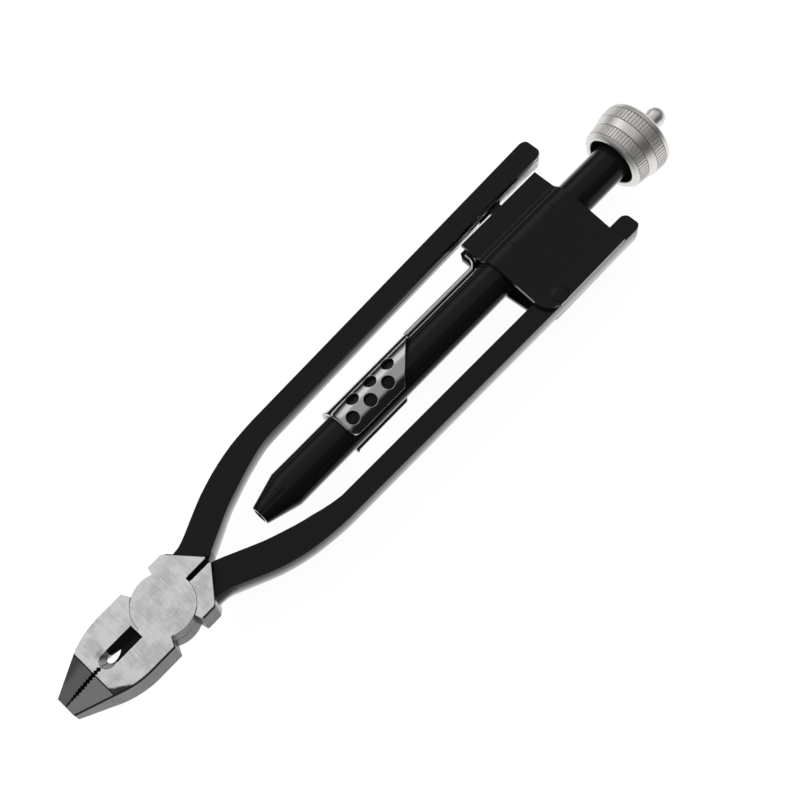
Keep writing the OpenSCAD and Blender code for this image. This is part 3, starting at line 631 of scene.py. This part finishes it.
def glancing(tree):
    """1 where a surface is seen at a glancing angle, and 0 where it faces the eye."""
    return ramp(tree, add(tree, "LayerWeight", inputs={"Blend": 0.5}).outputs["Facing"], *GLANCING)


def paint_layer(tree, place, edges, wear):
    """Colour, roughness and height of satin black paint that is worn along its edges."""
    paint = look().paint
    skin = use(tree, "paint_skin", Vector=place)
    worn = product(tree, ramp(tree, edges["Mask"], *WORN_EDGE), wear)
    colour = mix_colour(tree, worn, paint.colour, paint.worn_colour)
    return colour, spread(tree, paint.roughness, PAINT_UNEVEN, skin["Sheen"]), skin["Height"]


def paint_gloss(tree, shader, weight):
    """The paint's sheen, with a coat that shows at glancing angles."""
    feed_all(tree, shader, {"Specular IOR Level": PAINT_GLOSS, "Coat Weight": weight,
                            "Coat IOR": PAINT_COAT_IOR, "Coat Roughness": look().paint.roughness})


def paint_material():
    """Satin black paint, made once."""
    made = bpy.data.materials.get(PAINT_NAME)
    if made:
        return made
    material, tree, shader, place = new_material(PAINT_NAME)
    edges = use(tree, "soft_edges", Radius=PAINT_EDGE)
    colour, rough, height = paint_layer(tree, place, edges, PAINT_WEAR)
    feed_all(tree, shader, {"Base Color": colour, "Roughness": rough,
                            "Normal": bump(tree, height, *PAINT_BUMP, edges["Normal"])})
    paint_gloss(tree, shader, glancing(tree))
    return material


def half_material():
    """Ground steel head that turns into satin black paint along the slanted shoulder line."""
    steel = look().steel
    material, tree, shader, place = new_material("ground_head_black_handle")
    marks = use(tree, "ground_marks", Vector=place, Fine=2600.0, Run=260.0)
    zone = use(tree, "head_zones", Vector=place, Mottle=marks["Mottle"])
    edges = use(tree, "soft_edges", Radius=product(tree, zone["Edge"], HEAD_EDGE))
    shade = total(tree, product(tree, ramp(tree, marks["Marks"], *STREAKS), STREAK_SHADE),
                  product(tree, ramp(tree, marks["Mottle"], *PATCHES), PATCH_SHADE), GROUND_SHADE)
    colour = mix_colour(tree, shade, BLACK, steel.colour)
    colour = mix_colour(tree, zone["Side"], colour, steel.side_colour)
    across = separate(tree, place)[1]
    upper = ramp(tree, across, -JAW_FADE, JAW_FADE)
    # Painted shade: the upper jaw's bevel darker, and darker still along its outer edge
    nose = mix_colour(tree, upper, steel.nose_colour, [UPPER_NOSE_SHADE * part for part in steel.nose_colour])
    corner = total(tree, across, product(tree, marks["Mottle"], SHADE_RAGGED))
    darkened = product(tree, ramp(tree, corner, *NOSE_EDGE_SHADE), NOSE_EDGE_SHADE_STRENGTH)
    nose = mix_colour(tree, darkened, nose, steel.stain_and_shade_colour)
    colour = mix_colour(tree, zone["Nose"], colour, nose)
    # Painted shade along the edges, heavier on the lower jaw, with the soot and the disc's ring
    patchy = product(tree, ramp(tree, marks["Mottle"], *RIM_PATCHES), PATCHY_RIM)
    weight = total(tree, product(tree, rest(tree, upper), LOWER_RIM), patchy, LEAST_RIM)
    rim = product(tree, ramp(tree, edges["Mask"], *RIM_MASK), zone["Edge"], weight)
    dark = largest(tree, product(tree, zone["Stain"], STAIN_STRENGTH),
                   product(tree, zone["Ring"], RING_STRENGTH), rim)
    colour = mix_colour(tree, dark, colour, steel.stain_and_shade_colour)
    # Oxide in the cutter window, and painted shade in gaps, creases and along edges
    colour = mix_colour(tree, zone["Scale"], colour, steel.oxide_and_shade_colour)
    # Painted reflection: bare steel in place of paint on the upper handle's inner side
    colour = mix_colour(tree, zone["Rubbed"], colour, steel.colour)
    paint_colour, paint_rough, paint_height = paint_layer(tree, place, edges, HANDLE_WEAR)
    covered = product(tree, zone["Painted"], rest(tree, zone["Rubbed"]))
    steel_rough = spread(tree, steel.roughness, STEEL_UNEVEN, marks["Mottle"])
    rough = mix_value(tree, zone["Painted"], steel_rough, paint_rough)
    height = mix_value(tree, zone["Painted"], marks["Marks"], paint_height)
    feed_all(tree, shader, {
        "Base Color": mix_colour(tree, covered, colour, paint_colour),
        "Metallic": product(tree, rest(tree, covered), rest(tree, zone["Scale"])),
        "Roughness": largest(tree, rough, zone["Scale"]),
        "Normal": bump(tree, height, *HEAD_BUMP, edges["Normal"]),
    })
    paint_gloss(tree, shader, product(tree, glancing(tree), covered))
    return material


def metal_material(name, colour, roughness, fine, run, variation, shaded_bore=0.0, edge=METAL_EDGE):
    """Bare or plated metal with fine marks along its turning or drawing direction."""
    material, tree, shader, place = new_material(name)
    marks = use(tree, "ground_marks", Vector=place, Fine=fine, Run=run)
    edges = use(tree, "soft_edges", Radius=edge)
    shaded = mix_colour(tree, spread(tree, 1.0, variation, marks["Marks"]), BLACK, colour)
    if shaded_bore:
        # Painted shade inside the bore
        _, y, z = separate(tree, place)
        away = length(tree, combine(tree, {1: y, 2: maths(tree, "SUBTRACT", z, AXIS_Z)}))
        outside = ramp(tree, away, shaded_bore + BORE_FADE[0], shaded_bore + BORE_FADE[1])
        shaded = mix_colour(tree, outside, look().steel.oxide_and_shade_colour, shaded)
    feed_all(tree, shader, {
        "Base Color": shaded,
        "Roughness": spread(tree, roughness, METAL_UNEVEN * roughness, marks["Mottle"]),
        "Normal": bump(tree, marks["Marks"], *METAL_BUMP, edges["Normal"]),
        "Metallic": 1.0,
    })
    return material


# Pieces


def between(rows, x, column):
    """A column of a table, read straight between the rows on both sides of x."""
    for before, after in zip(rows, rows[1:]):
        if x <= after[0]:
            share = (x - before[0]) / (after[0] - before[0])
            return before[column] + (after[column] - before[column]) * share
    return rows[-1][column]


def fit_half(shape, node):
    """Gives a half's handle its fitted section, and lets its cutting edge meet the other one."""
    shape.normal_update()
    outward = 1 if node == "upper_half" else -1
    low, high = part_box("keeper_pin" if node == "upper_half" else "bracket_rivet")
    hole = (low + high) / 2
    for vert in shape.verts:
        place = vert.co
        at_cutter = CUTTER_ENDS[0] < place.x < CUTTER_ENDS[1] and abs(place.z - CUTTER_Z) < CUTTER_NEAR_Z
        if at_cutter and abs(place.y) < CUTTER_NEAR_Y:
            place.y = 0.0
        x, z = place.x / MM, abs(place.z - AXIS_Z) / MM
        half_t = between(HANDLE_HALF_T, x, 1)
        if x < HANDLE_FIT[node][0][0] or z > half_t + THICKNESS_SLACK or abs(vert.normal.y) < LEAST_SIDE:
            continue
        in_pocket = x > POCKET_FRONT and abs(z - POCKET_HALF_H) < POCKET_SLACK
        if in_pocket or (place.xy - hole.xy).length < HOLE_REACH * MM:
            continue
        side = 1 if vert.normal.y > 0 else -1
        bulge = OUTER_BULGE if side == outward else INNER_BULGE
        grown = min(1.0, max(0.0, (x - SQUARED_FROM) / SQUARED_OVER))
        squared = (bulge - FITTED_BULGE) * min(1.0, z / half_t) ** 2 * grown
        place.y += side * (squared + between(HANDLE_FIT[node], x, 1 if side > 0 else 2)) * MM


def fit_knob(shape):
    """Draws the knob's outside in towards its front."""
    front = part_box("knob")[0].x
    for vert in shape.verts:
        rise = vert.co.z - AXIS_Z
        if math.hypot(vert.co.y, rise) > KNOB_INSIDE:
            share = between(KNOB_FIT, (vert.co.x - front) / MM, 1)
            vert.co.y *= share
            vert.co.z = AXIS_Z + rise * share


def fit(shape, node):
    """Small changes that bring a solid's form nearer to the tool's."""
    if node in HANDLE_FIT:
        fit_half(shape, node)
    elif node == "knob":
        fit_knob(shape)
    elif node == "bracket_rivet":
        middle = (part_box(node)[0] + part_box(node)[1]) / 2
        bmesh.ops.scale(shape, vec=(RIVET_WIDTH, RIVET_WIDTH, 1), space=Matrix.Translation(-middle),
                        verts=shape.verts)
    elif node == "bracket_top_plate":
        edge_y = min(v.co.y for v in shape.verts)
        for vert in shape.verts:
            if vert.co.y < edge_y + PLATE_EDGE:
                vert.co.y -= PLATE_REACH


def run_along(edge):
    """How far an edge runs along the tool."""
    return abs(edge.verts[0].co.x - edge.verts[1].co.x)


def dressed(node, material, crease=PLAIN_CREASE, head_crease=None, rounding=0.0, long_edges=True):
    """A merged, smooth-shaded copy of a solid that stands for it, with the solid's body and the given
    material.

    A rounding bevels the sharp edges, with or without those that run along the tool.
    """
    source = frame["nodes"][node]
    shape = bmesh.new()
    shape.from_mesh(source.data)
    bmesh.ops.remove_doubles(shape, verts=shape.verts, dist=MERGE_DIST)
    fit(shape, node)
    if rounding:
        bmesh.ops.dissolve_limit(shape, angle_limit=FLAT_ANGLE, verts=shape.verts, edges=shape.edges)
        sharp = [edge for edge in shape.edges if edge.calc_face_angle(0.0) > ROUNDED_ANGLE
                 and (long_edges or run_along(edge) < LONG_SHARE * edge.calc_length())]
        bmesh.ops.bevel(shape, geom=sharp, offset=rounding, offset_type="OFFSET", segments=2, profile=0.5,
                        affect="EDGES", clamp_overlap=True, material=-1)
    for face in shape.faces:
        face.smooth = True
    for edge in shape.edges:
        limit = crease
        if head_crease is not None and max(v.co.x for v in edge.verts) < PAINT_START:
            limit = head_crease
        edge.smooth = edge.calc_face_angle(0.0) < limit
    mesh = bpy.data.meshes.new(node + "_dressed")
    shape.to_mesh(mesh)
    shape.free()
    piece = bpy.data.objects.new(node + "_dressed", mesh)
    bpy.context.scene.collection.objects.link(piece)
    mesh.materials.append(material)
    if rounding:
        level = piece.modifiers.new("flat_faces", "WEIGHTED_NORMAL")
        level.keep_sharp = True
    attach(piece, source["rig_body"])
    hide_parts(node)
    return piece


class PLIERS_OT_forged_halves(bpy.types.Operator):
    """Both forged halves with their rivet and keeper pin"""

    bl_idname = "pliers.forged_halves"
    bl_label = "Forged halves"

    def execute(self, context):
        halves = half_material()
        for node in ("upper_half", "lower_half"):
            dressed(node, halves, HANDLE_CREASE, HEAD_CREASE)
        dressed("pivot_rivet", halves)
        dressed("keeper_pin", paint_material())
        return {"FINISHED"}


class PLIERS_OT_carrier(bpy.types.Operator):
    """The twister's tube and the bracket that carries it"""

    bl_idname = "pliers.carrier"
    bl_label = "Tube and bracket"

    def execute(self, context):
        paint = paint_material()
        for node in ("bracket_top_plate", "bracket_bottom_plate"):
            dressed(node, paint, PLATE_CREASE, rounding=PLATE_ROUNDING, long_edges=False)
        for node in ("twist_tube", "bracket_rivet", "latch_guide_pins"):
            dressed(node, paint)
        return {"FINISHED"}


class PLIERS_OT_handle_lock(bpy.types.Operator):
    """The thumb slide, its wire and the hook that locks the handles"""

    bl_idname = "pliers.handle_lock"
    bl_label = "Handle lock"

    def execute(self, context):
        chrome = metal_material("polished_chrome", look().plate.chrome, roughness=0.12, fine=300.0, run=300.0,
                                variation=0.1, edge=0.3 * MM)
        dressed("thumb_slide", chrome)
        dressed("latch_wire", chrome)
        dressed("latch_plate", paint_material())
        return {"FINISHED"}


class PLIERS_OT_pull_knob(bpy.types.Operator):
    """The knurled pull knob and its ball-ended nut"""

    bl_idname = "pliers.pull_knob"
    bl_label = "Pull knob"

    def execute(self, context):
        for node, name, bore in (("knob", "satin_nickel_cup", KNOB_BORE), ("end_nut", "satin_nickel", 0.0)):
            nickel = metal_material(name, look().plate.nickel, roughness=0.42, fine=2200.0, run=60.0,
                                    variation=0.18, shaded_bore=bore)
            dressed(node, nickel, TURNED_CREASE)
        return {"FINISHED"}


class PLIERS_OT_twist_drive(bpy.types.Operator):
    """The spiral rod, spring, nut and washers inside the tube"""

    bl_idname = "pliers.twist_drive"
    bl_label = "Twist drive"

    def execute(self, context):
        bright = metal_material("bright_rod", ROD_COLOUR, roughness=0.3, fine=400.0, run=1600.0,
                                variation=0.2)
        brass = metal_material("turned_brass", look().plate.brass, roughness=0.3, fine=2000.0, run=80.0,
                               variation=0.2)
        dark = metal_material("spring_steel", SPRING_COLOUR, roughness=0.35, fine=700.0, run=200.0,
                              variation=0.3)
        dressed("twist_rod", bright)
        for node in ("spring_seat", "rear_spring_washer", "drive_nut"):
            dressed(node, brass)
        for node in ("rod_head_nut", "nut_pins"):
            dressed(node, dark, COILED_CREASE)
        spring = dressed("return_spring", dark, COILED_CREASE)
        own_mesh(spring)
        return {"FINISHED"}


def floor_material():
    """White floor that keeps a faint shadow."""
    material = bpy.data.materials.new("studio_floor")
    material.use_nodes = True
    tree = material.node_tree
    tree.nodes.remove(tree.nodes["Principled BSDF"])
    matt = add(tree, "BsdfDiffuse", inputs={"Color": FLOOR_COLOUR})
    glow = add(tree, "Emission", inputs={"Strength": FLOOR_GLOW})
    both = add(tree, "AddShader", inputs={0: matt.outputs[0], 1: glow.outputs[0]})
    tree.links.new(both.outputs[0], tree.nodes["Material Output"].inputs["Surface"])
    return material


def place_camera(scene, studio):
    """The camera, turned about its view to the photo's slant."""
    place, target = Vector(studio.camera_place), Vector(studio.camera_target)
    forward = (target - place).normalized()
    level = Vector((1, 0, 0))
    level = (level - forward * level.dot(forward)).normalized()
    rise = level.cross(forward)
    turn = studio.camera_turn
    right = level * math.cos(turn) - rise * math.sin(turn)
    above = level * math.sin(turn) + rise * math.cos(turn)
    data = bpy.data.cameras.new("camera")
    data.angle = studio.camera_angle
    data.clip_start = CAMERA_CLIP
    camera = bpy.data.objects.new("camera", data)
    turned = Matrix((right, above, -forward)).transposed().to_4x4()
    camera.matrix_world = Matrix.Translation(place) @ turned
    scene.collection.objects.link(camera)
    scene.camera = camera


def lay_floor(scene, studio):
    """A floor just under the solids."""
    shape = bmesh.new()
    bmesh.ops.create_grid(shape, x_segments=1, y_segments=1, size=studio.floor_size / 2)
    bmesh.ops.translate(shape, verts=shape.verts,
                        vec=(studio.camera_target[0], 0, CAD_BOX[0].z - FLOOR_GAP))
    mesh = bpy.data.meshes.new("floor")
    shape.to_mesh(mesh)
    shape.free()
    floor = bpy.data.objects.new("floor", mesh)
    mesh.materials.append(floor_material())
    scene.collection.objects.link(floor)


def hang_key_lamp(scene, studio):
    """A soft rectangular lamp turned to the camera's target."""
    data = bpy.data.lights.new("key", "AREA")
    data.shape = "RECTANGLE"
    data.size, data.size_y = KEY_SIZE
    data.energy = studio.key_power
    lamp = bpy.data.objects.new("key", data)
    lamp.location = KEY_PLACE
    to_target = Vector(studio.camera_target) - Vector(KEY_PLACE)
    lamp.rotation_euler = to_target.to_track_quat("-Z", "Y").to_euler()
    scene.collection.objects.link(lamp)


def light_world(scene, studio):
    """A sky that is bright overhead and beside the tool, and white where the camera sees it."""
    world = bpy.data.worlds.new("studio")
    scene.world = world
    world.use_nodes = True
    tree = world.node_tree
    _, across, rise = separate(tree, add(tree, "TexCoord").outputs["Generated"])
    above = product(tree, ramp(tree, rise, *OVERHEAD_RISE), ramp(tree, across, *OVERHEAD_SIDE),
                    studio.overhead)
    beside = product(tree, ramp(tree, rise, *BESIDE_RISE), ramp(tree, across, *BESIDE_SIDE), studio.beside)
    seen = add(tree, "LightPath").outputs["Is Camera Ray"]
    strength = largest(tree, total(tree, above, beside, studio.around), seen)
    feed_all(tree, tree.nodes["Background"], {"Strength": strength, "Color": WHITE})


class PLIERS_OT_studio(bpy.types.Operator):
    """The camera, floor and lights"""

    bl_idname = "pliers.studio"
    bl_label = "Studio"

    def execute(self, context):
        studio = look().studio
        place_camera(context.scene, studio)
        lay_floor(context.scene, studio)
        hang_key_lamp(context.scene, studio)
        light_world(context.scene, studio)
        context.scene.view_settings.view_transform = "Standard"
        return {"FINISHED"}


PIECE_OPERATORS = (
    PLIERS_OT_forged_halves,
    PLIERS_OT_carrier,
    PLIERS_OT_handle_lock,
    PLIERS_OT_pull_knob,
    PLIERS_OT_twist_drive,
    PLIERS_OT_studio,
)


class PLIERS_PT_sidebar(bpy.types.Panel):
    """Lists the operators in the 3D view's sidebar"""

    bl_idname = "PLIERS_PT_sidebar"
    bl_label = "Safety wire pliers"
    bl_space_type = "VIEW_3D"
    bl_region_type = "UI"
    bl_category = "Pliers"

    def draw(self, context):
        for operator in PIECE_OPERATORS:
            self.layout.operator(operator.bl_idname)


CLASSES = (SteelFinish, PaintFinish, PlateFinish, StudioSetup, PliersLook, *PIECE_OPERATORS,
           PLIERS_PT_sidebar)


def register():
    """Registers the classes and the scene's settings."""
    for cls in CLASSES:
        bpy.utils.register_class(cls)
    bpy.types.Scene.pliers_look = PointerProperty(type=PliersLook)


def unregister():
    """Takes the settings and the classes away again."""
    del bpy.types.Scene.pliers_look
    for cls in reversed(CLASSES):
        bpy.utils.unregister_class(cls)


def main():
    """Builds the pieces and the studio."""
    register()
    marks_group()
    peel_group()
    edge_group()
    zones_group()
    bpy.ops.pliers.forged_halves()
    bpy.ops.pliers.carrier()
    bpy.ops.pliers.handle_lock()
    bpy.ops.pliers.pull_knob()
    bpy.ops.pliers.twist_drive()
    bpy.ops.pliers.studio()


if __name__ == "__main__":
    main()
